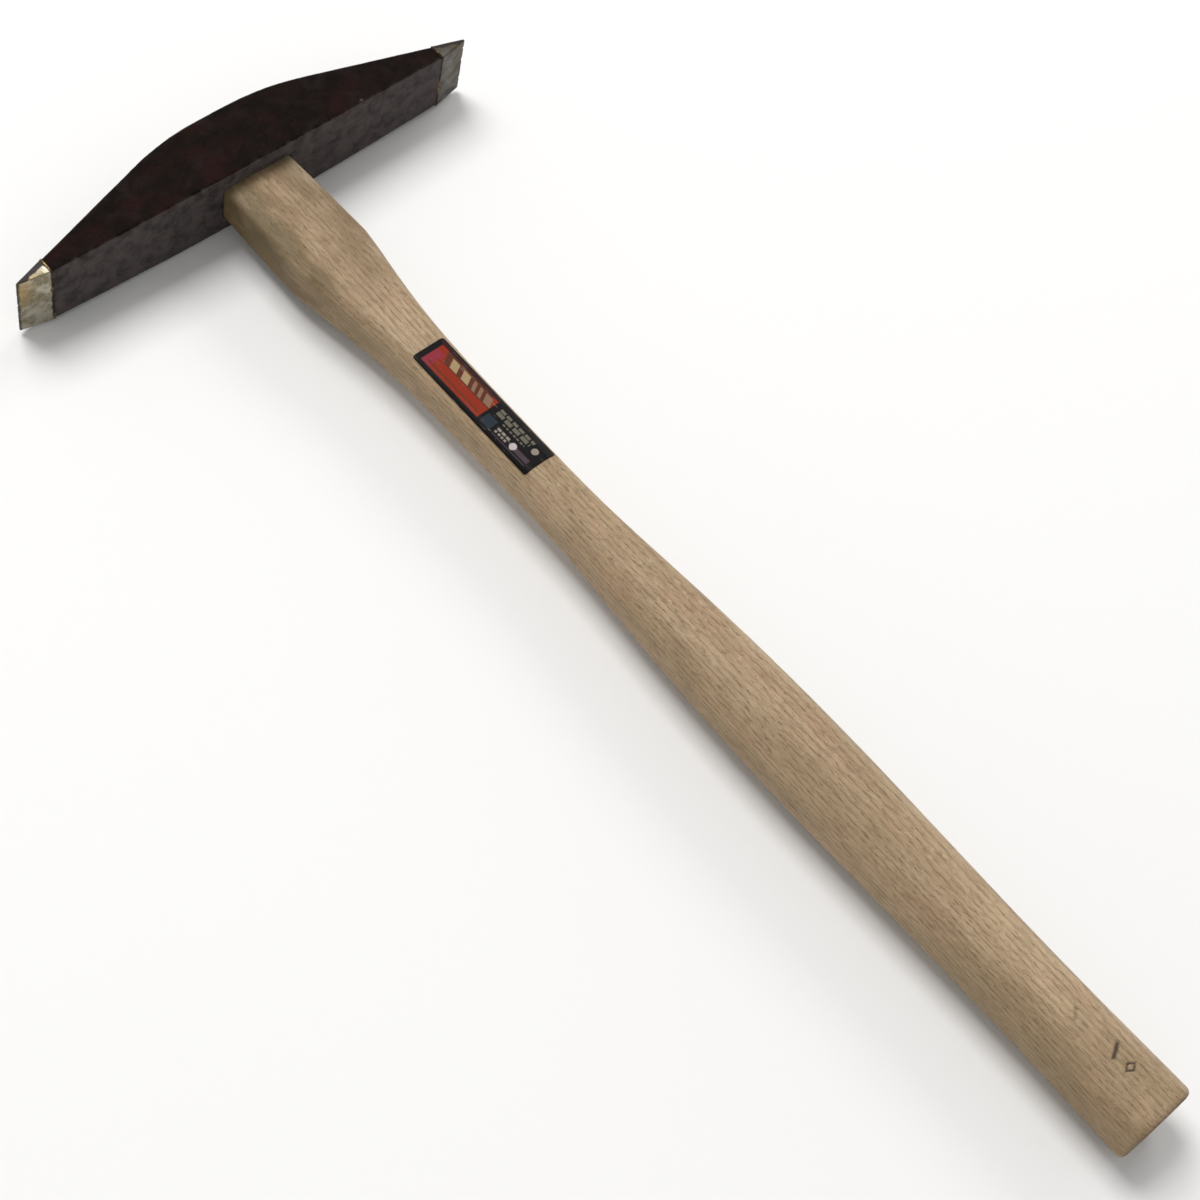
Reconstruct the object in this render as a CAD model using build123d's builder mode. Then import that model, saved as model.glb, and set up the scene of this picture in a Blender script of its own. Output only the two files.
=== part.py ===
"""Double-bladed brick hammer: a forged head with brazed edge tips on a long oak handle.

The hammer lies on one cheek of its head. X runs along the head from edge tip to edge tip, the
handle runs from the head towards -Y, and Z is up, across the blades. The origin is at the middle
of the cheek that the hammer lies on, straight below the handle's axis line at mid-height of the
head.
"""

from build123d import *
import os

os.makedirs("parts", exist_ok=True)

# ---------------------------------------------------------------- driving dimensions (mm)

# Head
head_length = 189.0  # cutting edge to cutting edge, along X
head_height = 26.0  # underside to crown, along Y
cheek_width = 28.0  # across the cheeks beside the eye, along Z
cheek_length = 44.0  # the cheeks are flat over this length
crown_length = 42.0  # between the two slopes, before rounding
crown_rounding = 110.0  # radius that blends the slopes into the crown
long_edge_rounding = 1.2  # forged corners along the head

# Edge tips
edge_width = 25.0  # length of each cutting edge, along Z
tip_length = 12.0  # along X, from the brazed seat to the cutting edge
seat_lift = 1.35  # the underside bows up by this much between the eye and a seat
edge_lift = 4.0  # cutting edge above the lowest line of the underside
edge_thickness = 0.9  # small flat that stops the edge from chipping
tip_corner = 0.4  # ground corners of the tip

# Eye, and the handle's tenon that fills it
eye_length = 28.0  # along X
eye_width = 15.0  # along Z
eye_corner = 1.5
tenon_stand = 1.0  # end grain left standing above the crown

# Driving wedges
wedge_width = 10.0
wedge_thickness = 2.6
wedge_point = 0.4  # thickness of the wedge's lower end
wedge_depth = 16.0
wedge_spacing = 13.0  # between the two wedges, along X
wedge_turn = 28.0  # degrees between a wedge's width and the Z axis

# Handle
handle_length = 423.0  # from the head's underside to the butt
butt_rounding = 2.4

# Sections across the handle: (distance from the head's underside, width, thickness, corner)
shoulder_sections = [
    (0.0, eye_length, eye_width, eye_corner),
    (22.0, 29.4, 15.8, 2.2),
    (39.0, 30.4, 16.6, 3.0),  # shoulder, the widest place near the head
]
shaft_sections = [
    (39.0, 30.4, 16.6, 3.0),
    (61.0, 24.4, 17.0, 4.0),
    (87.0, 19.3, 17.4, 5.0),
    (130.0, 18.0, 17.8, 6.0),  # neck, the slimmest place
    (158.0, 18.4, 18.6, 7.0),
    (191.0, 21.9, 20.6, 8.6),
    (233.0, 27.5, 23.2, 10.6),
    (271.0, 29.4, 24.2, 11.2),  # swell under the palm
    (346.0, 27.7, 23.6, 11.0),
    (401.0, 28.0, 23.8, 11.0),
    (handle_length, 28.9, 24.2, 11.4),  # butt, slightly flared
]

# Label on the neck
label_length = 56.5
label_width = 13.3
label_corner = 0.8
label_start = 89.5  # from the head's underside
label_film = 0.25

# Choosing faces and edges
facing = 0.9  # a unit normal with this much of Z belongs to a cheek
lengthwise = 0.5  # a unit tangent with this much of X runs along the head
half_way = 0.5  # along an edge
seat_margin = 1.0  # edges nearer to a brazed seat than this are left sharp

# ---------------------------------------------------------------- derived places

axis_height = cheek_width / 2
underside = -head_height / 2
crown = head_height / 2
edge_x = head_length / 2
seat_x = edge_x - tip_length
seat_bottom = underside + seat_lift
edge_y = underside + edge_lift
edge_top = edge_y + edge_thickness / 2
edge_bottom = edge_y - edge_thickness / 2
crown_x = crown_length / 2
slope = (crown - edge_top) / (edge_x - crown_x)
seat_top = edge_top + slope * tip_length
end_grain = crown + tenon_stand


def across(distance):
    """Plane across the handle, at a distance from the head's underside towards the butt."""
    origin = (0, underside - distance, axis_height)
    return Plane(origin=origin, x_dir=(1, 0, 0), z_dir=(0, -1, 0))


def outlines(sections, extra=0.0):
    """Rounded rectangles across the handle, all grown by extra on every side."""
    faces = []
    for distance, width, thickness, corner in sections:
        with BuildSketch(across(distance)) as section:
            RectangleRounded(width + 2 * extra, thickness + 2 * extra, corner + extra)
        faces.append(section.sketch.face())
    return faces


# Plan of the head seen along Y: parallel cheeks beside the eye, then a straight taper to the
# cutting edges. The head and its tips are both trimmed to it, so that their sides line up.
with BuildSketch(across(0)) as plan:
    with BuildLine():
        Polyline(
            (-edge_x, -edge_width / 2),
            (-cheek_length / 2, -cheek_width / 2),
            (cheek_length / 2, -cheek_width / 2),
            (edge_x, -edge_width / 2),
            (edge_x, edge_width / 2),
            (cheek_length / 2, cheek_width / 2),
            (-cheek_length / 2, cheek_width / 2),
            (-edge_x, edge_width / 2),
            close=True,
        )
    make_face()

# ---------------------------------------------------------------- hammer head

with BuildPart() as hammer_head:
    with BuildSketch():
        with BuildLine():
            ThreePointArc((-seat_x, seat_bottom), (0, underside), (seat_x, seat_bottom))
            Polyline(
                (seat_x, seat_bottom),
                (seat_x, seat_top),
                (crown_x, crown),
                (-crown_x, crown),
                (-seat_x, seat_top),
                (-seat_x, seat_bottom),
            )
        profile = make_face()
        fillet(profile.vertices().group_by(Axis.Y)[-1], radius=crown_rounding)
    extrude(amount=cheek_width)
    extrude(plan.sketch, amount=head_height, both=True, mode=Mode.INTERSECT)
    cheeks = hammer_head.faces().filter_by(lambda face: abs(face.normal_at().Z) > facing)
    inner_edges = cheeks.edges().filter_by(
        lambda edge: abs(edge.center().X) < seat_x - seat_margin
    )
    long_edges = inner_edges.filter_by(lambda edge: abs((edge % half_way).X) > lengthwise)
    fillet(long_edges, radius=long_edge_rounding)
    with BuildSketch(across(0)):
        RectangleRounded(eye_length, eye_width, eye_corner)
    extrude(amount=-head_height, mode=Mode.SUBTRACT)
hammer_head.part.label = "hammer_head"
export_step(hammer_head.part, "parts/hammer_head.step")

# ---------------------------------------------------------------- edge tips

for name, side in (("left_edge_tip", -1), ("right_edge_tip", 1)):
    with BuildPart() as edge_tip:
        with BuildSketch():
            with BuildLine():
                Polyline(
                    (side * seat_x, seat_bottom),
                    (side * edge_x, edge_bottom),
                    (side * edge_x, edge_top),
                    (side * seat_x, seat_top),
                    close=True,
                )
            make_face()
        extrude(amount=cheek_width)
        extrude(plan.sketch, amount=head_height, both=True, mode=Mode.INTERSECT)
        sides = edge_tip.faces().filter_by(lambda face: abs(face.normal_at().Z) > facing)
        ground = sides.edges().filter_by(
            lambda edge: abs(edge.center().X) > seat_x + seat_margin
        )
        chamfer(ground, length=tip_corner)
    edge_tip.part.label = name
    export_step(edge_tip.part, f"parts/{name}.step")

# ---------------------------------------------------------------- driving wedges

wedges = []
for name, side in (("left_wedge", -1), ("right_wedge", 1)):
    top = Plane(origin=(side * wedge_spacing / 2, end_grain, axis_height), z_dir=(0, 0, 1))
    with BuildPart() as wedge:
        with BuildSketch(top.rotated((0, wedge_turn, 0))):
            with BuildLine():
                Polyline(
                    (-wedge_thickness / 2, 0),
                    (wedge_thickness / 2, 0),
                    (wedge_point / 2, -wedge_depth),
                    (-wedge_point / 2, -wedge_depth),
                    close=True,
                )
            make_face()
        extrude(amount=wedge_width / 2, both=True)
    wedge.part.label = name
    export_step(wedge.part, f"parts/{name}.step")
    wedges.append(wedge.part)

# ---------------------------------------------------------------- handle

with BuildPart() as handle:
    with BuildSketch(across(0)):
        RectangleRounded(eye_length, eye_width, eye_corner)
    extrude(amount=-(head_height + tenon_stand))
    loft(outlines(shoulder_sections))
    loft(outlines(shaft_sections))
    butt_face = handle.faces().sort_by(Axis.Y)[0]
    fillet(butt_face.edges(), radius=butt_rounding)
    add(wedges, mode=Mode.SUBTRACT)
handle.part.label = "handle"
export_step(handle.part, "parts/handle.step")

# ---------------------------------------------------------------- label

with BuildPart() as label:
    loft(outlines(shaft_sections, extra=label_film))
    with BuildSketch(Plane.XY.offset(axis_height)):
        with Locations((0, underside - label_start - label_length / 2)):
            RectangleRounded(label_width, label_length, label_corner)
    extrude(amount=axis_height, mode=Mode.INTERSECT)
    add(handle.part, mode=Mode.SUBTRACT)
label.part.label = "label"
export_step(label.part, "parts/label.step")
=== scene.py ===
"""Looks of the double-bladed brick hammer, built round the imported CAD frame.

Lengths are in metres, or in millimetres where a comment says so. The hammer lies on one cheek of
its head: X runs along the head, the handle runs from the head towards -Y, and Z is up.
"""
import math
import bmesh
import bpy
import numpy as np
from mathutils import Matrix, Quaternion, Vector, noise
from mathutils.bvhtree import BVHTree


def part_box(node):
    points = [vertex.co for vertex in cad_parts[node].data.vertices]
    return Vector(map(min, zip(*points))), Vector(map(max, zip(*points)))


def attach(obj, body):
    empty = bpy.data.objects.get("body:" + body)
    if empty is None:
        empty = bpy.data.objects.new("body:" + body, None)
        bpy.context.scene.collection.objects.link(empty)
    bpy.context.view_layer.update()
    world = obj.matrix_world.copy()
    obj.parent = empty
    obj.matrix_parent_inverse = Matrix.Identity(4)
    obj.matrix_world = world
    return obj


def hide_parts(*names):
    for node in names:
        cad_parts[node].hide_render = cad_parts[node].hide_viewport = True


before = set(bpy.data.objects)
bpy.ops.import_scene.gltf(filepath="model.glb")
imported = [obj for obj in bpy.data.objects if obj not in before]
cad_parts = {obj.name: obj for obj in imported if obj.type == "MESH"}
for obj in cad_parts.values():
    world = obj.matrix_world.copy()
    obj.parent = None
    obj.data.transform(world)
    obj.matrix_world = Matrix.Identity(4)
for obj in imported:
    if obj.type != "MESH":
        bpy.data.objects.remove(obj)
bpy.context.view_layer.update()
MM = 0.001

# ---------------------------------------------------------------- camera, floor and light

AIM_POINT = Vector((-13.7, -205.3, 14.0)) * MM
CAMERA_PLACE = Vector((-346.25, -419.68, 660.31)) * MM
CAMERA_ROLL = math.radians(17.73)
CAMERA_SENSOR = 36.0  # its width, in millimetres like the lens
CAMERA_LENS = 71.93
CAMERA_CLIP = (0.01, 20.0)
FLOOR_MIDDLE_Y = -0.2
FLOOR_FLAT_RADIUS = 1.7
FLOOR_CURVE_RADIUS = 0.8
FLOOR_CORNERS = 96  # points in each ring of the floor
FLOOR_RINGS = 12  # rings in its flat part, and as many again in its curve
FLOOR_COLOUR = (0.86, 0.86, 0.855)
FLOOR_DIMMING = 0.985  # brightness of its darkest places, as a share of that
SKY_COLOUR = (1.0, 1.0, 1.0)
SKY_STRENGTH = 0.42
LIGHT_COLOUR = (1.0, 0.99, 0.98)
LIGHT_DISTANCE = 4.5
# Lights: (name, direction from the hammer, width, height, power)
LIGHTS = [
    ("key", (0.05, 0.66, 1.0), 2.4, 2.4, 151.0),
    ("side", (1.0, 0.30, 0.62), 1.8, 1.2, 48.0),
]

# ---------------------------------------------------------------- places taken from the frame

TOUCH = 0.01 * MM  # a point this near to a plane lies on it
HANDLE_LOW, HANDLE_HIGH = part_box("handle")
LABEL_LOW, LABEL_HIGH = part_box("label")
TIP_LOW, TIP_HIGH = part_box("right_edge_tip")
AXIS_HEIGHT = (HANDLE_LOW.z + HANDLE_HIGH.z) / 2
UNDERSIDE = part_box("hammer_head")[0].y
SEAT_X, EDGE_X = TIP_LOW.x, TIP_HIGH.x
EDGE_POINTS = [
    point.co.y
    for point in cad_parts["right_edge_tip"].data.vertices
    if point.co.x > EDGE_X - TOUCH
]
EDGE_Y = sum(EDGE_POINTS) / len(EDGE_POINTS)
# Sides of the head: (name, X of the tip's seat, share of painted shade that darkens the whole tip)
SIDES = [("left", -SEAT_X, 0.0), ("right", SEAT_X, 0.82)]

# ---------------------------------------------------------------- fineness of the meshes

WELD_DISTANCE = 0.001 * MM  # joins the split corners of a CAD mesh
CORNER_EASING = 0.5  # how far each point moves towards its neighbours
HEAD_NET = 0.5 * MM
TIP_NET = 0.25 * MM
WEDGE_NET = 0.25 * MM
HANDLE_CORNERS = 160  # points in each ring round the handle
RING_FLATNESS = 0.72  # height to width of the ellipse that spreads them
OUTSIDE = 60 * MM  # from the handle's axis to where rays start
HANDLE_STEP = 1.2 * MM
MARK_STEP = 0.3 * MM
MARK_MARGIN = 3.0  # millimetres of finer rings beyond the marks
BUTT_RINGS = 14
BUTT_START = 0.02  # where the first ring lies on the butt's rounding, as a share of it
BUTT_GAP = 0.5 * MM
BUTT_ROUNDING = 2.6 * MM
CAP_RINGS = 26
CAP_INSET = 0.02 * MM
EASED_CORNER = 0.35 * MM  # worn corner of the end grain
TENON_REACH = 11 * MM  # from the axis to the tenon's outline, on average
LABEL_NET = 0.16 * MM
LABEL_THICKNESS = 0.18 * MM
LABEL_CORNER = 0.8 * MM
LABEL_INSET = 0.02 * MM
ABOVE_LABEL = 5 * MM

# ---------------------------------------------------------------- unevenness of the surfaces
# A SIZE is how wide the lumps are, a LENGTH how long, a DEPTH how far they go in or out, and an
# INSET how far the whole surface is drawn in. A SHIFT keeps one noise apart from another, and a
# SQUEEZE below 1 makes lumps longer.

DENT_SIZE, DENT_DEPTH = 9 * MM, 0.065 * MM
DENT_OCTAVES = (1.0, 2.0, 3)  # how fast they weaken, their ratio and their number
DENT_TOP = 0.9  # noise this high stays on the CAD surface
SCALE_SIZE, SCALE_DEPTH = 1.8 * MM, 0.035 * MM
SCALE_OCTAVES = (0.8, 2.1, 3)
SCALE_TOP = 1.0
SCALE_SHIFT = Vector((5.0, 2.0, 9.0))
GRIND_SIZE, GRIND_DEPTH, GRIND_INSET = 4.0 * MM, 0.04 * MM, 0.03 * MM
NICK_SIZE, NICK_DEPTH = 1.1 * MM, 0.9 * MM
NICK_REACH = 1.6 * MM  # from the cutting edge inwards
NICK_LEVEL = 0.12  # noise above this cuts a nick
NICK_SHIFT = Vector((3.0, 7.0, 1.0))
BRUISE_SIZE, BRUISE_DEPTH, BRUISE_INSET = 1.3 * MM, 0.05 * MM, 0.03 * MM
SHAVING_SIZE, SHAVING_DEPTH, SHAVING_SQUEEZE = 11 * MM, 0.045 * MM, 0.35
FIBRE_SIZE, FIBRE_LENGTH, FIBRE_DEPTH = 1.1 * MM, 38 * MM, 0.022 * MM
SAW_LENGTH, SAW_SIZE, SAW_DEPTH = 5 * MM, 0.5 * MM, 0.05 * MM
FLANK_INSET, END_INSET = 0.03 * MM, 0.16 * MM
END_FACING = (0.75, 0.95)  # how far the end grain faces along Y
WRINKLE_SIZE, WRINKLE_DEPTH, WRINKLE_SQUEEZE = 3 * MM, 0.02 * MM, 0.5

SEAM_STEP = 0.25 * MM  # along the bead of braze
SEAM_CORNERS = 10
SEAM_RADIUS, SEAM_SWELL = 0.30 * MM, 0.20 * MM
SEAM_SIZE, SEAM_SHIFT = 1.3 * MM, Vector((9.0, 0.0, 0.0))
SEAM_DRIFT, SEAM_SQUEEZE = 0.16 * MM, 0.6
SEAM_SINK = 0.20 * MM  # from the tip's outline to the middle of the bead
SEAM_SPREAD = 1.3  # its width along X, to its height

# ---------------------------------------------------------------- wear, dirt and painted shade
# A pair is where a gradual change starts and where it ends.

SLOPE_LACQUER = (0.50, 0.62)  # from a tip's seat, at 0, to its cutting edge, at 1
SEAM_LACQUER = (0.02, 0.09)
CHEEK_LACQUER = (1.6 * MM, 2.3 * MM)  # below a tip's slope
# Painted shade along the cutting edge:
EDGE_PAINTED_SHADE = (0.3 * MM, 1.0 * MM)  # from the cutting edge inwards
EDGE_DARKNESS = 0.85
SLOPE_FACING, CHEEK_FACING = (0.35, 0.6), (0.5, 0.8)  # how far they face +Y, and up or down
LACQUER_SIZE, LACQUER_FINE_SIZE = 2.2 * MM, 0.7 * MM  # of the lobes of its ragged border
TEMPER_OUT = (0.35, 0.90)  # from seat to edge, like SLOPE_LACQUER
TEMPER_UP = (11 * MM, 22 * MM)  # above the lower cheek
TEMPER_SIZE = 2.6 * MM
SHOULDER_DARKENING = (35 * MM, 85 * MM)  # from the head's underside, like the next two
GRIP_FLANK_SHADE = (190 * MM, 300 * MM)
BUTT_SOIL = (380 * MM, 412 * MM)
# Painted shade on the -X flank fades out across this span:
FLANK_SHADE = (-11 * MM, 2 * MM)  # along X

# ---------------------------------------------------------------- stamped marks near the butt
# (kind, X, distance from the head's underside, half length, half width in millimetres; turn of
# its length from X in degrees; darkness)
MARKS = [
    ("bar", 0.3, 384.3, 1.9, 0.45, -48.0, 0.35),
    ("bar", 1.3, 399.6, 3.0, 0.62, -28.0, 0.85),
    ("lozenge", 1.0, 405.8, 2.6, 1.9, 0.0, 0.85),
]
MARK_DEPTH = 0.28 * MM
LOZENGE_LINE = 0.72  # where its stroke runs, from the middle to the corners
LOZENGE_STROKE = 0.20  # half width of the stroke, on the same measure
BAR_BORDER = (0.75, 1.25)  # where a bar fades out, as shares of its half length and width
LOZENGE_BORDER = (0.7, 1.4)  # where a lozenge's stroke does, as shares of its half width

# ---------------------------------------------------------------- growth of the wood
PITH_X, PITH_Z = 34 * MM, 15 * MM  # from the tree's pith to the handle's middle
PITH_WANDER = 9 * MM
RING_WIDTH = 1.55 * MM
RAYS_PER_RADIAN = 90.0

# ---------------------------------------------------------------- label print
# Colours are linear.
BLACK = (0.0055, 0.0045, 0.0045)
MAROON = (0.030, 0.007, 0.007)
ROSE = (0.235, 0.026, 0.042)
RED = (0.235, 0.024, 0.009)
RUST = (0.095, 0.028, 0.014)
CREAM = (0.33, 0.235, 0.12)
SAND = (0.22, 0.125, 0.078)
NIGHT = (0.018, 0.026, 0.036)
PALE = (0.46, 0.41, 0.41)
BEIGE = (0.25, 0.215, 0.18)
MIST = (0.125, 0.115, 0.088)
PLUM = (0.060, 0.038, 0.052)
# Printed shapes: (from, to along the label; from, to across it; slant; colour), millimetres,
# along from the head end, across from the middle towards +X
PRINT = [
    (1.0, 31.0, 4.6, 5.7, 0.0, MAROON),
    (2.4, 30.6, -4.9, 4.4, 0.0, RED),
    (2.4, 6.2, -4.9, 2.2, 0.0, ROSE),
    (8.0, 30.6, -0.1, 4.4, 0.55, RUST),
    (10.6, 14.0, 0.3, 3.7, 0.55, CREAM),
    (16.2, 19.6, 0.3, 3.7, 0.55, CREAM),
    (21.4, 22.9, 0.3, 3.7, 0.55, SAND),
    (24.4, 25.9, 0.3, 3.7, 0.55, SAND),
    (27.4, 30.6, 0.3, 3.7, 0.55, SAND),
    (4.2, 29.0, -3.6, -3.2, 0.0, RUST),
    (31.9, 36.6, -4.9, -0.8, 0.0, NIGHT),
    (38.2, 54.0, -5.1, -4.8, 0.0, PLUM),
    (47.6, 54.0, -4.2, -2.4, 0.0, PLUM),
]
# Rows of dashes: (across, half height, from, to along, dash, gap, colour)
DASHES = [
    (3.1, 0.50, 33.4, 50.0, 2.3, 0.7, MIST),
    (1.5, 0.70, 33.4, 49.4, 3.1, 0.8, MIST),
    (-0.1, 0.30, 38.0, 48.6, 1.1, 0.6, MIST),
    (-2.4, 0.55, 38.2, 44.2, 1.5, 0.6, BEIGE),
    (-3.8, 0.38, 38.2, 43.6, 1.0, 0.5, BEIGE),
]
SPOTS = [(46.4, -3.1, 1.35, PALE), (52.2, 1.3, 1.3, BEIGE)]  # (along, across, radius, colour)


# ---------------------------------------------------------------- mesh helpers


def closed_copy(node):
    """A copy of a CAD node's mesh whose split corners are joined again."""
    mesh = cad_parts[node].data.copy()
    shape = bmesh.new()
    shape.from_mesh(mesh)
    bmesh.ops.remove_doubles(shape, verts=shape.verts, dist=WELD_DISTANCE)
    shape.to_mesh(mesh)
    shape.free()
    return mesh


def even_net(node, cell):
    """The node's surface as an even net of small quads, with its corners slightly eased."""
    source = bpy.data.objects.new(node + "_source", closed_copy(node))
    bpy.context.scene.collection.objects.link(source)
    remesh = source.modifiers.new("net", "REMESH")
    remesh.mode = "VOXEL"
    remesh.voxel_size = cell
    ease = source.modifiers.new("ease", "SMOOTH")
    ease.factor = CORNER_EASING
    graph = bpy.context.evaluated_depsgraph_get()
    mesh = bpy.data.meshes.new_from_object(source.evaluated_get(graph))
    bpy.data.objects.remove(source)
    return mesh


def push(mesh, height):
    """Moves each point of the mesh along its normal by height(place, normal)."""
    places = [(point.co.copy(), point.normal.copy()) for point in mesh.vertices]
    for point, (place, normal) in zip(mesh.vertices, places):
        point.co = place + normal * height(place, normal)
    mesh.update()


def tree_of(node):
    """A ray-casting tree of a CAD node's surface."""
    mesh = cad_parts[node].data
    return BVHTree.FromPolygons(
        [point.co for point in mesh.vertices],
        [face.vertices for face in mesh.polygons],
    )


def mesh_from(points, faces):
    """A mesh with its faces turned outwards."""
    mesh = bpy.data.meshes.new("made")
    mesh.from_pydata(points, [], faces)
    shape = bmesh.new()
    shape.from_mesh(mesh)
    bmesh.ops.recalc_face_normals(shape, faces=shape.faces)
    shape.to_mesh(mesh)
    shape.free()
    mesh.update()
    return mesh


def circle(corners):
    """Cosine and sine of evenly spaced turns, once round."""
    turns = [2 * math.pi * corner / corners for corner in range(corners)]
    return [(math.cos(turn), math.sin(turn)) for turn in turns]


def grid_faces(rows, columns, closed):
    """Quads that join rows of points, each row closed into a ring or left open."""
    across = columns if closed else columns - 1
    return [
        (r * columns + c, r * columns + (c + 1) % columns,
         (r + 1) * columns + (c + 1) % columns, (r + 1) * columns + c)
        for r in range(rows - 1)
        for c in range(across)
    ]


def fan_faces(start, corners, middle):
    """Triangles from the ring of points that begins at start to the point in its middle."""
    return [(start + c, start + (c + 1) % corners, middle) for c in range(corners)]


def add_values(mesh, name, value):
    """Stores value(place, normal) on every point of the mesh, for the material."""
    layer = mesh.attributes.new(name, "FLOAT", "POINT")
    values = [value(point.co, point.normal) for point in mesh.vertices]
    layer.data.foreach_set("value", values)


def add_object(name, mesh, material):
    """A smooth object in the scene, with that mesh and material."""
    mesh.name = name
    mesh.materials.clear()
    mesh.materials.append(material)
    mesh.polygons.foreach_set("use_smooth", [True] * len(mesh.polygons))
    made = bpy.data.objects.new(name, mesh)
    bpy.context.scene.collection.objects.link(made)
    return made


def add_piece(name, mesh, material, slot, *nodes):
    """Shows the mesh as a piece of the hammer that stands for those CAD nodes."""
    piece = add_object(name, mesh, material)
    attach(piece, "root")
    if nodes:
        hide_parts(*nodes)
    return piece


def smoothstep(low, high, value):
    """A smooth step from 0 to 1 while the value goes from low to high."""
    share = min(max((value - low) / (high - low), 0.0), 1.0)
    return share * share * (3 - 2 * share)


# ---------------------------------------------------------------- material helper


class Paint:
    """A node material: its Principled shader, and short calls for the nodes that feed it."""

    def __init__(self, name, **constants):
        self.material = bpy.data.materials.new(name)
        self.material.use_nodes = True
        self.tree = self.material.node_tree
        self.shader = self.tree.nodes["Principled BSDF"]
        self.feed(self.shader, constants)

    def feed(self, node, values):
        """Sets or links a node's sockets, by number or by name with _ for a space."""
        for key, value in values.items():
            socket = node.inputs[key.replace("_", " ") if isinstance(key, str) else key]
            if isinstance(value, bpy.types.NodeSocket):
                self.tree.links.new(value, socket)
            elif socket.type == "RGBA":
                socket.default_value = (*value, 1.0)
            else:
                socket.default_value = value

    def add(self, kind, values, **settings):
        """A new node of that kind, with its settings made and its sockets fed."""
        node = self.tree.nodes.new("ShaderNode" + kind)
        for name, value in settings.items():
            setattr(node, name, value)
        self.feed(node, values)
        return node

    def place(self):
        """The point that is shaded, in the piece's own coordinates."""
        return self.add("TexCoord", {}).outputs["Object"]

    def facing(self):
        """How far the surface faces along Y, from -1 to 1."""
        normal = self.add("TexCoord", {}).outputs["Normal"]
        return self.add("SeparateXYZ", {0: normal}).outputs[1]

    def stretched(self, cells, where=None):
        """Coordinates in which a cell of that size, or of those sizes in X, Y and Z, is one unit."""
        sizes = cells if isinstance(cells, tuple) else (cells,) * 3
        values = {0: where or self.place(), 1: [1 / size for size in sizes]}
        return self.add("VectorMath", values, operation="MULTIPLY").outputs[0]

    def cloud(self, cells, detail=3.0, roughness=0.55, warp=0.0, where=None):
        """Noise from 0 to 1, with cells of that size or of those sizes in X, Y and Z."""
        values = {
            "Vector": self.stretched(cells, where),
            "Scale": 1.0,
            "Detail": detail,
            "Roughness": roughness,
            "Distortion": warp,
        }
        return self.add("TexNoise", values).outputs[0]

    def cell_distance(self, cells, where=None):
        """Distance to the nearest cell centre, for cells of that size or of those sizes."""
        values = {"Vector": self.stretched(cells, where), "Scale": 1.0}
        return self.add("TexVoronoi", values).outputs["Distance"]

    def maths(self, operation, *values):
        """The result of that operation on one or two numbers."""
        return self.add("Math", dict(enumerate(values)), operation=operation).outputs[0]

    def times(self, first, second):
        """The product of two numbers."""
        return self.maths("MULTIPLY", first, second)

    def fade(self, value, low, high, start=0.0, end=1.0):
        """A smooth step from start to end while the value goes from low to high."""
        values = {0: value, 1: low, 2: high, 3: start, 4: end}
        return self.add("MapRange", values, interpolation_type="SMOOTHSTEP").outputs[0]

    def mix(self, share, first, second, blend="MIX"):
        """The first colour, with that share of the second one blended in."""
        values = {0: share, 6: first, 7: second}
        return self.add("Mix", values, data_type="RGBA", blend_type=blend).outputs[2]

    def grey(self, value):
        """A number as a colour of that brightness."""
        return self.add("CombineColor", {0: value, 1: value, 2: value}).outputs[0]

    def bump(self, height, depth, under=None):
        """Relief of that depth, on top of the relief under it."""
        values = {"Height": height, "Strength": 1.0, "Distance": depth}
        if under is not None:
            values["Normal"] = under
        return self.add("Bump", values).outputs[0]

    def share(self, name):
        """A number that is stored on the mesh."""
        return self.add("Attribute", {}, attribute_name=name).outputs["Fac"]

    def colour(self, name):
        """A colour that is stored on the mesh."""
        return self.add("Attribute", {}, attribute_name=name).outputs["Color"]

    def finish(self, **sockets):
        """The material, once these sockets of its shader are fed."""
        self.feed(self.shader, sockets)
        return self.material


# ---------------------------------------------------------------- materials


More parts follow.
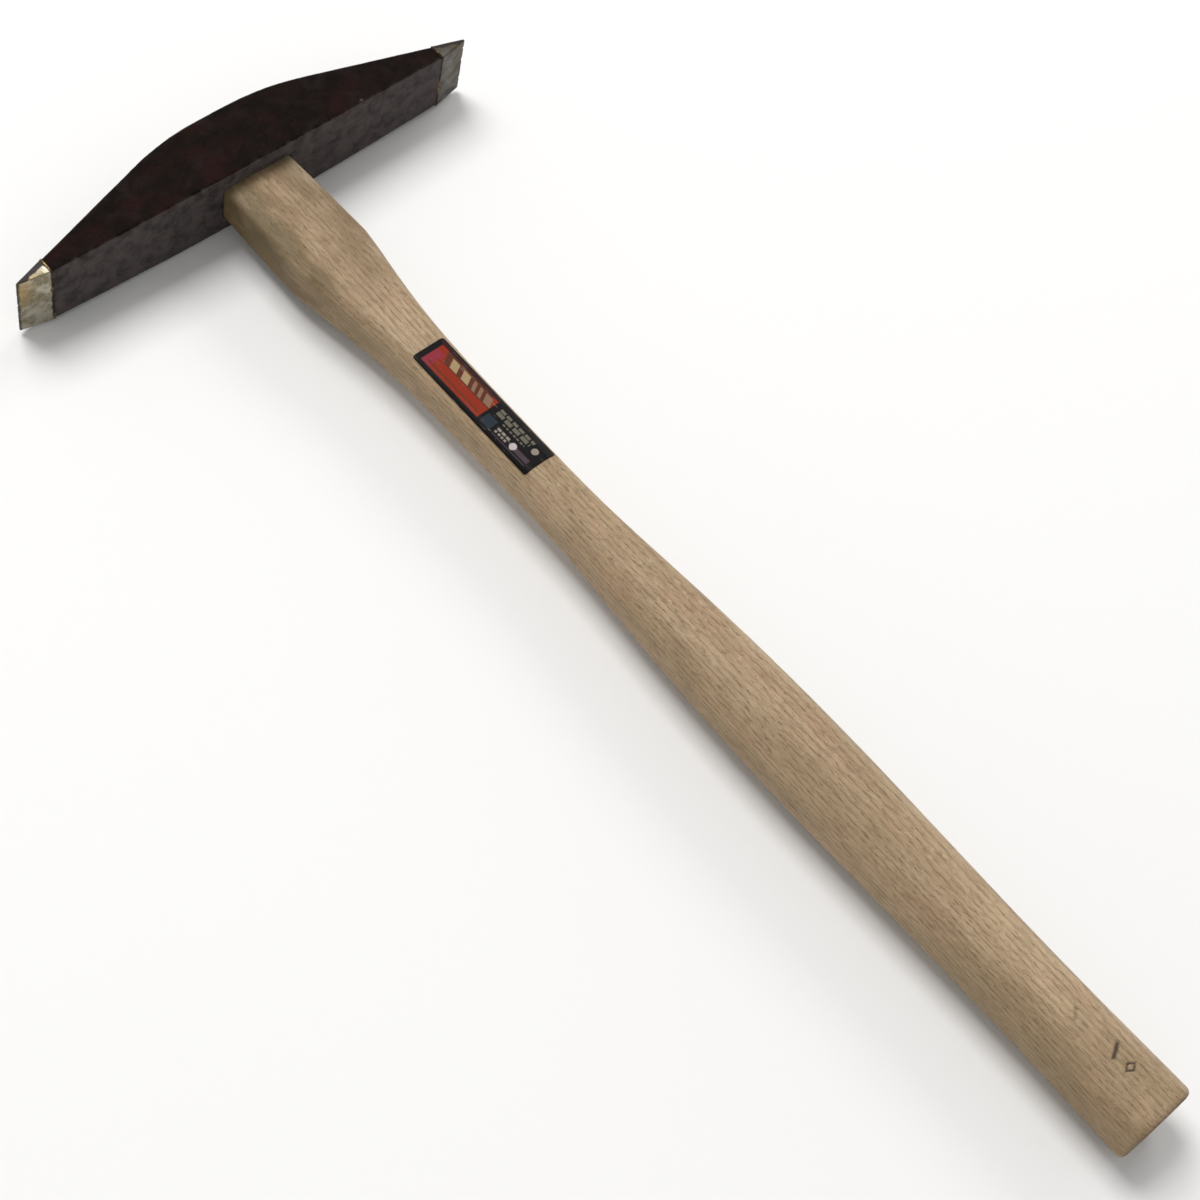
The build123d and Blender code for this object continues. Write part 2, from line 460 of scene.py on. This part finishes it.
def forged_steel():
    """Dark scale-brown lacquer over a forging, rubbed thin on its corners, with a painted reflection
    on its underside.
    """
    paint = Paint("forged_steel_looks", Specular_IOR_Level=0.06, Specular_Tint=(1.0, 0.68, 0.58))
    black, brown = (0.0003, 0.0002, 0.0002), (0.0070, 0.0035, 0.0026)
    russet, ashen = (0.0125, 0.0030, 0.0026), (0.0135, 0.0096, 0.0102)
    speckled, painted_reflection_grey = (0.017, 0.012, 0.011), (0.086, 0.074, 0.072)
    bare = (0.070, 0.057, 0.049)
    mottle = paint.cloud(6 * MM, detail=6.0, roughness=0.7, warp=0.3)
    fine = paint.cloud(0.9 * MM, detail=4.0, roughness=0.7)
    patch = paint.cloud((22 * MM, 14 * MM, 14 * MM), detail=3.0)
    ash = paint.cloud((11 * MM, 9 * MM, 9 * MM), detail=6.0, roughness=0.7, warp=0.8)
    tone = paint.mix(paint.fade(mottle, 0.40, 0.62), black, brown)
    tone = paint.mix(paint.fade(patch, 0.50, 0.62, 0.0, 0.7), tone, russet)
    tone = paint.mix(paint.fade(ash, 0.50, 0.70, 0.0, 0.6), tone, ashen)
    tone = paint.mix(paint.fade(fine, 0.58, 0.72, 0.0, 0.42), tone, speckled)
    # Painted reflection: faces towards -Y get a mottled lighter grey for the bright floor they
    # reflect.
    scale = paint.fade(mottle, 0.30, 0.62, 0.30, 0.90)
    below = paint.times(paint.fade(paint.facing(), -0.85, -0.5, 1.0, 0.0), scale)
    tone = paint.mix(below, tone, painted_reflection_grey)
    edge = paint.add("NewGeometry", {}).outputs["Pointiness"]
    worn = paint.fade(mottle, 0.42, 0.60, 0.0, 0.8)
    rubbed = paint.times(paint.fade(edge, 0.508, 0.548), worn)
    tone = paint.mix(rubbed, tone, bare)
    relief = paint.bump(paint.cloud(2.2 * MM, detail=5.0, roughness=0.65), 0.30 * MM)
    relief = paint.bump(fine, 0.14 * MM, relief)
    pits = paint.fade(paint.cell_distance(1.7 * MM), 0.05, 0.26)
    relief = paint.bump(pits, 0.05 * MM, relief)
    polish = paint.times(rubbed, -0.5)
    rough = paint.fade(paint.maths("ADD", mottle, polish), 0.2, 0.8, 0.46, 0.66)
    return paint.finish(Base_Color=tone, Roughness=rough, Normal=relief)


def ground_steel():
    """Bright hard steel of a cutting edge, with grinding marks, a warm tarnish, lapped lacquer and
    painted shade.
    """
    paint = Paint("ground_steel_looks", Specular_IOR_Level=0.2)
    bright, tarnished = (0.52, 0.485, 0.395), (0.25, 0.215, 0.135)
    scored, straw = (0.58, 0.56, 0.49), (0.42, 0.305, 0.135)
    stained, black, umber = (0.06, 0.045, 0.032), (0.008, 0.006, 0.005), (0.022, 0.016, 0.013)
    scratch = paint.cloud((0.12 * MM, 5.0 * MM, 9.0 * MM), detail=3.0, roughness=0.6)
    fine = paint.cloud(0.5 * MM, detail=4.0, roughness=0.7)
    tarnish = paint.cloud((6 * MM, 6 * MM, 5 * MM), detail=4.0, roughness=0.6, warp=0.5)
    tone = paint.mix(paint.fade(tarnish, 0.36, 0.66), bright, tarnished)
    tone = paint.mix(paint.fade(scratch, 0.5, 0.75, 0.0, 0.5), tone, scored)
    temper = paint.times(paint.share("temper"), paint.fade(tarnish, 0.30, 0.58, 0.30, 0.85))
    tone = paint.mix(temper, tone, straw)
    stain = paint.times(paint.fade(fine, 0.52, 0.64), paint.fade(tarnish, 0.38, 0.62))
    tone = paint.mix(paint.times(stain, 0.75), tone, stained)
    # The lacquer share also holds painted shade, along the cutting edge and over the whole right tip.
    lacquer = paint.share("lacquer")
    tone = paint.mix(lacquer, tone, paint.mix(tarnish, black, umber))
    bare = paint.maths("SUBTRACT", 1.0, lacquer)
    relief = paint.bump(scratch, 0.03 * MM)
    relief = paint.bump(fine, 0.03 * MM, relief)
    relief = paint.bump(lacquer, 0.06 * MM, relief)
    rough = paint.fade(tarnish, 0.3, 0.7, 0.34, 0.55)
    return paint.finish(Base_Color=tone, Metallic=bare, Roughness=rough, Normal=relief)


def braze():
    """Golden filler metal squeezed out of the seam under an edge tip."""
    paint = Paint("braze_looks", Metallic=1.0)
    gold, bronze, sooty = (0.42, 0.29, 0.12), (0.22, 0.135, 0.06), (0.020, 0.015, 0.012)
    heat = paint.cloud(1.6 * MM, detail=4.0, roughness=0.65)
    soot = paint.cloud(5 * MM, detail=3.0, roughness=0.6)
    tone = paint.mix(paint.fade(heat, 0.35, 0.65), gold, bronze)
    tone = paint.mix(paint.fade(soot, 0.36, 0.52, 0.25, 0.95), tone, sooty)
    relief = paint.bump(heat, 0.06 * MM)
    rough = paint.fade(heat, 0.3, 0.7, 0.32, 0.6)
    return paint.finish(Base_Color=tone, Roughness=rough, Normal=relief)


def wedge_steel():
    """Mild steel of a driven wedge, bruised by the hammer and lightly rusted, with painted shade on
    its sides.
    """
    paint = Paint("wedge_steel_looks", Metallic=1.0)
    bright, rusty = (0.27, 0.255, 0.235), (0.125, 0.080, 0.052)
    gritty, painted_kerf_shade = (0.05, 0.04, 0.033), (0.012, 0.009, 0.007)
    blot = paint.cloud(2.2 * MM, detail=5.0, roughness=0.65)
    grit = paint.cloud(0.3 * MM, detail=3.0, roughness=0.7)
    tone = paint.mix(paint.fade(blot, 0.4, 0.62), bright, rusty)
    tone = paint.mix(paint.fade(grit, 0.52, 0.7, 0.0, 0.5), tone, gritty)
    # Painted shade: faces that do not face up along +Y, down in the kerf, are painted near black.
    tone = paint.mix(paint.fade(paint.facing(), 0.6, 0.97, 1.0, 0.0), tone, painted_kerf_shade)
    relief = paint.bump(blot, 0.10 * MM)
    relief = paint.bump(grit, 0.03 * MM, relief)
    rough = paint.fade(blot, 0.3, 0.7, 0.36, 0.62)
    return paint.finish(Base_Color=tone, Roughness=rough, Normal=relief)


def growth(paint, place):
    """Distance from the tree's pith, turn round it, and how far a point is in the early wood."""
    parts = paint.add("SeparateXYZ", {0: place}).outputs
    wander = paint.cloud((34 * MM, 150 * MM, 34 * MM), detail=3.0, roughness=0.45, where=place)
    wander = paint.times(paint.maths("SUBTRACT", wander, 0.5), PITH_WANDER)
    pith_x = paint.maths("ADD", paint.maths("ADD", parts[0], wander), PITH_X)
    pith_z = paint.maths("ADD", parts[2], PITH_Z)
    from_pith = paint.add("CombineXYZ", {0: pith_x, 2: pith_z}).outputs[0]
    radius = paint.add("VectorMath", {0: from_pith}, operation="LENGTH").outputs["Value"]
    ring = paint.maths("FRACT", paint.maths("DIVIDE", radius, RING_WIDTH))
    early = paint.times(paint.fade(ring, 0.0, 0.12), paint.fade(ring, 0.18, 0.66, 1.0, 0.0))
    return radius, paint.maths("ARCTAN2", pith_z, pith_x), early


def end_grain(paint, place, grown, blotch):
    """Colour of the wood cut across: rings, open pores and pale rays."""
    radius, turn, early = grown
    pale, porous, open_pore = (0.25, 0.168, 0.092), (0.145, 0.092, 0.050), (0.055, 0.034, 0.020)
    ray, smeared = (0.36, 0.26, 0.155), (0.125, 0.082, 0.048)
    tone = paint.mix(paint.times(early, 0.45), pale, porous)
    dots = paint.fade(paint.cell_distance((0.55 * MM, 9 * MM, 0.55 * MM), place), 0.16, 0.34, 1.0, 0.0)
    dots = paint.times(dots, paint.maths("ADD", paint.times(early, 0.6), 0.2))
    tone = paint.mix(dots, tone, open_pore)
    spread = {0: paint.times(turn, RAYS_PER_RADIAN), 1: paint.maths("DIVIDE", radius, 9 * MM)}
    fan = paint.add("CombineXYZ", spread).outputs[0]
    rays = paint.cloud(1.0, detail=1.0, where=fan)
    tone = paint.mix(paint.fade(rays, 0.60, 0.70, 0.0, 0.42), tone, ray)
    return paint.mix(paint.fade(blotch, 0.40, 0.66, 0.0, 0.5), tone, smeared)


def wood_wear_and_painted_light(paint, place, tone, broad):
    """The wood's colour, with a painted sheen along +X, dirt from hands and painted shade, and
    darkened stamps.
    """
    grey, burnt = (0.37, 0.305, 0.235), (0.030, 0.016, 0.010)
    tan, olive = (0.200, 0.128, 0.060), (0.156, 0.114, 0.055)
    side = paint.add("SeparateXYZ", {0: place}).outputs[0]
    # Painted sheen: the +X side is painted greyer and lighter.
    tone = paint.mix(paint.fade(side, 8.5 * MM, 13 * MM, 0.0, 0.4), tone, grey)
    smudge = paint.cloud((9 * MM, 22 * MM, 9 * MM), detail=5.0, roughness=0.6, where=place)
    # This share holds dirt, and painted shade on the -X flank.
    grime_and_shade = paint.times(paint.share("dirt_and_shade"), paint.fade(smudge, 0.28, 0.66, 0.35, 1.0))
    tone = paint.mix(grime_and_shade, tone, paint.mix(paint.fade(broad, 0.35, 0.6), tan, olive))
    return paint.mix(paint.share("stamp"), tone, burnt)


def oak():
    """Sanded white oak: growth rings, dark pores and pale ray flecks, open at the end grain."""
    paint = Paint("oak_looks", Specular_IOR_Level=0.32)
    pale, tan, porous = (0.475, 0.345, 0.215), (0.355, 0.250, 0.142), (0.26, 0.175, 0.095)
    ruddy, blotchy, streaky = (0.42, 0.255, 0.155), (0.245, 0.165, 0.10), (0.20, 0.13, 0.07)
    hollow, silvery = (0.12, 0.075, 0.042), (0.52, 0.41, 0.27)
    place = paint.place()
    grown = growth(paint, place)
    early = grown[2]
    broad = paint.cloud((16 * MM, 90 * MM, 16 * MM), detail=3.0, where=place)
    tone = paint.mix(paint.fade(broad, 0.33, 0.68), pale, tan)
    tone = paint.mix(paint.times(early, 0.30), tone, porous)
    warm = paint.cloud((8 * MM, 24 * MM, 8 * MM), detail=4.0, roughness=0.6, where=place)
    tone = paint.mix(paint.fade(warm, 0.50, 0.66, 0.0, 0.34), tone, ruddy)
    blotch = paint.cloud((3.2 * MM, 9.0 * MM, 3.2 * MM), detail=4.0, roughness=0.65, where=place)
    tone = paint.mix(paint.fade(blotch, 0.48, 0.68, 0.0, 0.36), tone, blotchy)
    streak = paint.cloud((0.55 * MM, 11 * MM, 0.55 * MM), detail=3.0, roughness=0.6, where=place)
    tone = paint.mix(paint.fade(streak, 0.50, 0.72, 0.0, 0.40), tone, streaky)
    pore = paint.cloud((0.22 * MM, 3.6 * MM, 0.22 * MM), detail=2.0, where=place)
    pores = paint.fade(paint.maths("ADD", pore, paint.times(early, 0.07)), 0.61, 0.66)
    tone = paint.mix(paint.times(pores, 0.48), tone, hollow)
    fleck = paint.cloud((2.4 * MM, 3.4 * MM, 0.5 * MM), detail=2.0, warp=0.4, where=place)
    tone = paint.mix(paint.fade(fleck, 0.60, 0.68, 0.0, 0.32), tone, silvery)
    cut = paint.fade(paint.maths("ABSOLUTE", paint.facing()), 0.55, 0.88)
    tone = paint.mix(cut, tone, end_grain(paint, place, grown, blotch))
    tone = wood_wear_and_painted_light(paint, place, tone, broad)
    relief = paint.bump(streak, 0.10 * MM)
    relief = paint.bump(pores, -0.12 * MM, relief)
    relief = paint.bump(paint.cloud(0.3 * MM, detail=3.0, where=place), 0.035 * MM, relief)
    rough = paint.fade(blotch, 0.3, 0.7, 0.50, 0.68)
    return paint.finish(Base_Color=tone, Roughness=rough, Normal=relief)


def label_film():
    """Printed film with a soft sheen, and fine scuffs that let the paper show."""
    paint = Paint("label_film_looks", Specular_IOR_Level=0.07)
    paper = (0.30, 0.27, 0.24)
    grain = paint.cloud(0.35 * MM, detail=3.0, roughness=0.6)
    tone = paint.mix(0.22, paint.colour("ink"), paint.grey(grain), blend="SOFT_LIGHT")
    rub = paint.cloud((0.5 * MM, 6 * MM, 2 * MM), detail=5.0, roughness=0.7)
    area = paint.cloud((7 * MM, 12 * MM, 7 * MM), detail=2.0)
    scuff = paint.times(paint.fade(rub, 0.60, 0.68), paint.fade(area, 0.45, 0.62))
    tone = paint.mix(paint.times(scuff, 0.55), tone, paper)
    relief = paint.bump(paint.cloud((3 * MM, 5 * MM, 3 * MM), detail=3.0), 0.10 * MM)
    relief = paint.bump(rub, 0.02 * MM, relief)
    rough = paint.fade(area, 0.3, 0.7, 0.38, 0.52)
    return paint.finish(Base_Color=tone, Roughness=rough, Normal=relief)


def floor_paint():
    """Matt pale board."""
    paint = Paint("floor_looks", Specular_IOR_Level=0.15)
    drift = paint.cloud(0.4, detail=2.0)
    dimmed = tuple(FLOOR_DIMMING * level for level in FLOOR_COLOUR)
    tone = paint.mix(drift, dimmed, FLOOR_COLOUR)
    return paint.finish(Base_Color=tone, Roughness=paint.fade(drift, 0.0, 1.0, 0.75, 0.85))


# ---------------------------------------------------------------- head, edge tips and wedges


def forging_height(place, normal):
    """Shallow dents of the die and the hammer, and a finer scale pitting; mostly inwards."""
    dents = noise.fractal(place / DENT_SIZE, *DENT_OCTAVES)
    scale = noise.fractal(place / SCALE_SIZE + SCALE_SHIFT, *SCALE_OCTAVES)
    return DENT_DEPTH * (dents - DENT_TOP) + SCALE_DEPTH * (scale - SCALE_TOP)


def grinding_height(place, normal):
    """Unevenness of the ground faces, and small nicks along the cutting edge."""
    wave = GRIND_DEPTH * noise.noise(place / GRIND_SIZE)
    near_edge = smoothstep(EDGE_X - NICK_REACH, EDGE_X, abs(place.x))
    nick = max(noise.noise(place / NICK_SIZE + NICK_SHIFT) - NICK_LEVEL, 0.0)
    return wave - GRIND_INSET - NICK_DEPTH * near_edge * nick


def bruise_height(place, normal):
    """The wedge's top, bruised by the hammer that drove it."""
    return BRUISE_DEPTH * noise.noise(place / BRUISE_SIZE) - BRUISE_INSET


def way_out(place):
    """How far a point is from a tip's seat, at 0, to its cutting edge, at 1."""
    return (abs(place.x) - SEAT_X) / (EDGE_X - SEAT_X)


def lacquer_and_shade_share(place, normal):
    """Where a tip is dark: lacquer on slope, cheeks and seam, and painted shade along its edge."""
    ragged = noise.noise(place / LACQUER_SIZE) + 0.4 * noise.noise(place / LACQUER_FINE_SIZE)
    out = way_out(place)
    inner_slope = 1 - smoothstep(*SLOPE_LACQUER, out + 0.16 * ragged)
    on_slope = smoothstep(*SLOPE_FACING, normal.y) * inner_slope
    below_slope = TIP_HIGH.y + (EDGE_Y - TIP_HIGH.y) * out - place.y
    beside = 1 - smoothstep(*CHEEK_LACQUER, below_slope + 0.7 * MM * ragged)
    on_cheek = smoothstep(*CHEEK_FACING, abs(normal.z)) * beside
    at_seam = 1 - smoothstep(*SEAM_LACQUER, out + 0.05 * ragged)
    # Painted shade: a dark band along the cutting edge.
    edge = 1 - smoothstep(*EDGE_PAINTED_SHADE, EDGE_X - abs(place.x) + 0.25 * MM * ragged)
    return max(on_slope, on_cheek, at_seam, EDGE_DARKNESS * edge)


def temper_share(place, normal):
    """Temper colour left by grinding, on the outer part of a tip towards its upper cheek."""
    ragged = noise.noise(place / TEMPER_SIZE)
    outer = smoothstep(*TEMPER_OUT, way_out(place) + 0.2 * ragged)
    return outer * smoothstep(*TEMPER_UP, place.z + 3 * MM * ragged)


def build_head(steel):
    """The forged head."""
    mesh = even_net("hammer_head", HEAD_NET)
    push(mesh, forging_height)
    add_piece("head_forging", mesh, steel, "forged_steel", "hammer_head")


def build_tip(side, painted_tip_shade, steel):
    """One ground tip, darkened all over by that share of painted shade."""
    node = side + "_edge_tip"
    mesh = even_net(node, TIP_NET)
    # Lacquer, painted shade along the edge, and painted shade over the whole tip by that share.
    add_values(mesh, "lacquer", lambda place, normal: max(lacquer_and_shade_share(place, normal), painted_tip_shade))
    add_values(mesh, "temper", temper_share)
    push(mesh, grinding_height)
    add_piece(side + "_ground_tip", mesh, steel, "hard_edge", node)


def build_wedge(side, steel):
    """One wedge in the end grain of the tenon."""
    node = side + "_wedge"
    mesh = even_net(node, WEDGE_NET)
    push(mesh, bruise_height)
    add_piece(side + "_driven_wedge", mesh, steel, "wedge_steel", node)


def seam_outline(node, plane_x):
    """The corners of a tip's seat, in order round it, as (y, z)."""
    points = {
        (round(point.co.y, 6), round(point.co.z, 6))
        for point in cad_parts[node].data.vertices
        if abs(point.co.x - plane_x) < TOUCH
    }
    centre = np.mean(list(points), axis=0)
    return sorted(points, key=lambda p: math.atan2(p[1] - centre[1], p[0] - centre[0]))


def even_loop(corners, step):
    """Points a step apart round a closed line through the corners."""
    made = []
    for first, second in zip(corners, corners[1:] + corners[:1]):
        start, end = Vector(first), Vector(second)
        count = max(round((end - start).length / step), 1)
        made += [start.lerp(end, n / count) for n in range(count)]
    return made


def build_seam(side, plane_x, metal):
    """An uneven bead of braze that follows the seam between the head and a tip."""
    loop = even_loop(seam_outline(side + "_edge_tip", plane_x), SEAM_STEP)
    centre = sum(loop, Vector((0.0, 0.0))) / len(loop)
    points = []
    for place in loop:
        seed = Vector((plane_x, place.x, place.y)) / SEAM_SIZE
        radius = SEAM_RADIUS + SEAM_SWELL * noise.noise(seed)
        drift = SEAM_DRIFT * noise.noise(seed * SEAM_SQUEEZE + SEAM_SHIFT)
        outward = (place - centre).normalized()
        core = place - outward * SEAM_SINK
        for cosine, sine in circle(SEAM_CORNERS):
            reach = core + outward * radius * cosine
            points.append((plane_x + drift + SEAM_SPREAD * radius * sine, reach.x, reach.y))
    count = len(points)
    faces = grid_faces(len(loop) + 1, SEAM_CORNERS, True)
    mesh = mesh_from(points, [tuple(corner % count for corner in face) for face in faces])
    add_piece(side + "_braze_seam", mesh, metal, "hard_edge")


# ---------------------------------------------------------------- handle


def ring_stations():
    """Places of the handle's rings along Y, closer together at the butt and at the marks."""
    first_mark = UNDERSIDE - (min(mark[2] for mark in MARKS) - MARK_MARGIN) * MM
    last_mark = UNDERSIDE - (max(mark[2] for mark in MARKS) + MARK_MARGIN) * MM
    butt, top = HANDLE_LOW.y, HANDLE_HIGH.y
    turns = np.linspace(BUTT_START, 1.0, BUTT_RINGS) * math.pi / 2
    stations = [butt + BUTT_ROUNDING * (1 - math.cos(turn)) for turn in turns]
    stations += list(np.arange(stations[-1] + BUTT_GAP, last_mark, HANDLE_STEP))
    stations += list(np.arange(last_mark, first_mark, MARK_STEP))
    stations += list(np.arange(first_mark, top - HANDLE_STEP / 2, HANDLE_STEP))
    return stations + [top - EASED_CORNER, top - CAP_INSET]


def ring_at(tree, y, scale):
    """One ring of the handle's outline at y, shrunk towards the axis by scale."""
    middle = Vector((0.0, y, AXIS_HEIGHT))
    ring = []
    for cosine, sine in circle(HANDLE_CORNERS):
        ray = Vector((cosine, 0.0, RING_FLATNESS * sine)).normalized()
        hit = tree.ray_cast(middle + ray * OUTSIDE, -ray)[0]
        ring.append(middle + (hit - middle) * scale)
    return ring


def mark_shares(place):
    """How deep inside a stamped mark a point of the top face is, and how dark, from 0 to 1."""
    deepest, darkest = 0.0, 0.0
    if place.z < AXIS_HEIGHT:
        return deepest, darkest
    for kind, x, distance, half_length, half_width, turn, darkness in MARKS:
        across = place.x / MM - x
        along = (UNDERSIDE - place.y) / MM - distance
        cosine, sine = math.cos(math.radians(turn)), math.sin(math.radians(turn))
        length = abs(across * cosine + along * sine) / half_length
        width = abs(along * cosine - across * sine) / half_width
        if kind == "bar":
            share = 1 - smoothstep(*BAR_BORDER, max(length, width))
        else:
            off_line = abs(length + width - LOZENGE_LINE) / LOZENGE_STROKE
            share = 1 - smoothstep(*LOZENGE_BORDER, off_line)
        deepest, darkest = max(deepest, share), max(darkest, share * darkness)
    return deepest, darkest


def wood_height(place, normal):
    """Waves left by the spokeshave, fibres that stand proud, saw marks on the ends, and stamps."""
    wave = noise.noise(Vector((place.x, place.y * SHAVING_SQUEEZE, place.z)) / SHAVING_SIZE)
    cell = Vector((place.x / FIBRE_SIZE, place.y / FIBRE_LENGTH, place.z / FIBRE_SIZE))
    flank = SHAVING_DEPTH * wave + FIBRE_DEPTH * noise.noise(cell) - FLANK_INSET
    sawn = SAW_DEPTH * noise.noise(Vector((place.x / SAW_LENGTH, 0.0, place.z / SAW_SIZE)))
    end = smoothstep(*END_FACING, abs(normal.y))
    stamped = MARK_DEPTH * mark_shares(place)[0]
    return (1 - end) * flank + end * (sawn - END_INSET) - stamped


def dirt_and_shade_share(place, normal):
    """How dark the wood is painted: beside the head, dirt at the butt, painted shade on the -X flank,
    more at the grip.
    """
    distance = UNDERSIDE - place.y
    butt = smoothstep(*BUTT_SOIL, distance)
    grip = smoothstep(*GRIP_FLANK_SHADE, distance)
    shoulder = 1 - smoothstep(*SHOULDER_DARKENING, distance)
    # Painted shade: the -X flank is painted darker, a little more along the grip.
    flank = 1 - smoothstep(*FLANK_SHADE, place.x)
    return 0.03 + 0.88 * shoulder + 0.26 * butt + flank * (0.28 + 0.10 * grip)


def build_handle(wood):
    """The handle: rings from butt to tenon, closed at both ends by shrinking rings."""
    tree = tree_of("handle")
    stations = ring_stations()
    butt, top = stations[0], stations[-1]
    scales = [(n + 1) / (CAP_RINGS + 1) for n in range(CAP_RINGS)]
    rings = [ring_at(tree, butt, scale) for scale in scales]
    rings += [ring_at(tree, y, 1.0) for y in stations[:-1]]
    rings += [ring_at(tree, top, 1 - EASED_CORNER / TENON_REACH)]
    rings += [ring_at(tree, top, scale) for scale in reversed(scales)]
    points = [point for ring in rings for point in ring]
    faces = grid_faces(len(rings), HANDLE_CORNERS, True)
    for start, y in ((0, butt), (len(points) - HANDLE_CORNERS, top)):
        faces += fan_faces(start, HANDLE_CORNERS, len(points))
        points.append(Vector((0.0, y, AXIS_HEIGHT)))
    mesh = mesh_from(points, faces)
    add_values(mesh, "stamp", lambda place, normal: mark_shares(place)[1])
    # Dirt, and painted shade on the -X flank.
    add_values(mesh, "dirt_and_shade", dirt_and_shade_share)
    push(mesh, wood_height)
    add_piece("oak_handle", mesh, wood, "oak", "handle")


# ---------------------------------------------------------------- label


def ink_at(along, across):
    """Colour of the label's print at a place on it, in millimetres."""
    colour = BLACK
    for start, end, low, high, slant, shape_colour in PRINT:
        shifted = along + slant * (across - low)
        if start <= shifted <= end and low <= across <= high:
            colour = shape_colour
    for middle, half, start, end, dash, gap, row_colour in DASHES:
        if start <= along <= end and abs(across - middle) <= half:
            if (along - start) % (dash + gap) <= dash:
                colour = row_colour
    for centre, middle, radius, spot_colour in SPOTS:
        if math.hypot(along - centre, across - middle) <= radius:
            colour = spot_colour
    return colour


def rounded(value, other, half, other_half):
    """Pulls a point near a rectangle's corner in, so that the corner becomes an arc."""
    dx = abs(value) - (half - LABEL_CORNER)
    dy = abs(other) - (other_half - LABEL_CORNER)
    if dx <= 0 or dy <= 0:
        return value, other
    pull = max(dx, dy) / math.hypot(dx, dy)
    return (
        math.copysign(half - LABEL_CORNER + dx * pull, value),
        math.copysign(other_half - LABEL_CORNER + dy * pull, other),
    )


def build_label(film):
    """A slightly wrinkled film that follows the neck, with its print as colours."""
    tree = tree_of("label")
    width, length = LABEL_HIGH.x - LABEL_LOW.x, LABEL_HIGH.y - LABEL_LOW.y
    half_x, half_y = width / 2 - LABEL_INSET, length / 2 - LABEL_INSET
    middle_y = (LABEL_HIGH.y + LABEL_LOW.y) / 2
    columns = round(width / LABEL_NET) + 1
    rows = round(length / LABEL_NET) + 1
    points, inks = [], []
    for row in np.linspace(-half_y, half_y, rows):
        for column in np.linspace(-half_x, half_x, columns):
            x, y = rounded(column, row, half_x, half_y)
            above = Vector((x, middle_y + y, LABEL_HIGH.z + ABOVE_LABEL))
            hit = tree.ray_cast(above, Vector((0.0, 0.0, -1.0)))[0]
            wrinkle = noise.noise(Vector((x, y * WRINKLE_SQUEEZE, 0.0)) / WRINKLE_SIZE)
            points.append(hit + Vector((0.0, 0.0, WRINKLE_DEPTH * wrinkle)))
            inks.append(ink_at((length / 2 - y) / MM, x / MM))
    mesh = mesh_from(points, grid_faces(rows, columns, False))
    layer = mesh.color_attributes.new("ink", "FLOAT_COLOR", "POINT")
    layer.data.foreach_set("color", [level for ink in inks for level in (*ink, 1.0)])
    piece = add_piece("printed_label", mesh, film, "label_film", "label")
    body = piece.modifiers.new("thickness", "SOLIDIFY")
    body.thickness = LABEL_THICKNESS
    body.offset = -1.0


# ---------------------------------------------------------------- floor, light and camera


def build_floor():
    """A round floor that curves up into a low rim far from the hammer."""
    steps = range(1, FLOOR_RINGS + 1)
    profile = [(FLOOR_FLAT_RADIUS * n / FLOOR_RINGS, 0.0) for n in steps]
    for n in steps:
        turn = math.pi / 2 * n / FLOOR_RINGS
        out = FLOOR_FLAT_RADIUS + FLOOR_CURVE_RADIUS * math.sin(turn)
        profile.append((out, FLOOR_CURVE_RADIUS * (1 - math.cos(turn))))
    points = [
        (radius * cosine, radius * sine + FLOOR_MIDDLE_Y, height)
        for radius, height in profile
        for cosine, sine in circle(FLOOR_CORNERS)
    ]
    faces = grid_faces(len(profile), FLOOR_CORNERS, True)
    faces += fan_faces(0, FLOOR_CORNERS, len(points))
    points.append((0.0, FLOOR_MIDDLE_Y, 0.0))
    add_object("floor", mesh_from(points, faces), floor_paint())


def build_lights():
    """Soft area lights, and an even pale sky."""
    for name, direction, width, height, power in LIGHTS:
        lamp = bpy.data.lights.new(name, "AREA")
        lamp.shape = "RECTANGLE"
        lamp.size, lamp.size_y = width, height
        lamp.energy = power
        lamp.color = LIGHT_COLOUR
        light = bpy.data.objects.new(name, lamp)
        out = Vector(direction).normalized()
        light.location = AIM_POINT + out * LIGHT_DISTANCE
        light.rotation_mode = "QUATERNION"
        light.rotation_quaternion = (-out).to_track_quat("-Z", "Y")
        bpy.context.scene.collection.objects.link(light)
    sky = bpy.data.worlds.new("sky")
    sky.use_nodes = True
    back = sky.node_tree.nodes["Background"]
    back.inputs["Color"].default_value = (*SKY_COLOUR, 1.0)
    back.inputs["Strength"].default_value = SKY_STRENGTH
    bpy.context.scene.world = sky


def build_camera():
    """A camera high over the -X side of the butt, rolled so that the handle runs down to the right."""
    lens = bpy.data.cameras.new("camera")
    lens.sensor_width = CAMERA_SENSOR
    lens.lens = CAMERA_LENS
    lens.clip_start, lens.clip_end = CAMERA_CLIP
    camera = bpy.data.objects.new("camera", lens)
    camera.location = CAMERA_PLACE
    camera.rotation_mode = "QUATERNION"
    level = (AIM_POINT - CAMERA_PLACE).to_track_quat("-Z", "Y")
    camera.rotation_quaternion = level @ Quaternion((0.0, 0.0, 1.0), CAMERA_ROLL)
    bpy.context.scene.collection.objects.link(camera)
    bpy.context.scene.camera = camera


# ---------------------------------------------------------------- the scene

tip_steel, seam_metal, driven_steel = ground_steel(), braze(), wedge_steel()
build_head(forged_steel())
for side, seat_x, painted_tip_shade in SIDES:
    build_tip(side, painted_tip_shade, tip_steel)
    build_seam(side, seat_x, seam_metal)
    build_wedge(side, driven_steel)
build_handle(oak())
build_label(label_film())
build_floor()
build_lights()
build_camera()
bpy.context.scene.view_settings.view_transform = "Standard"
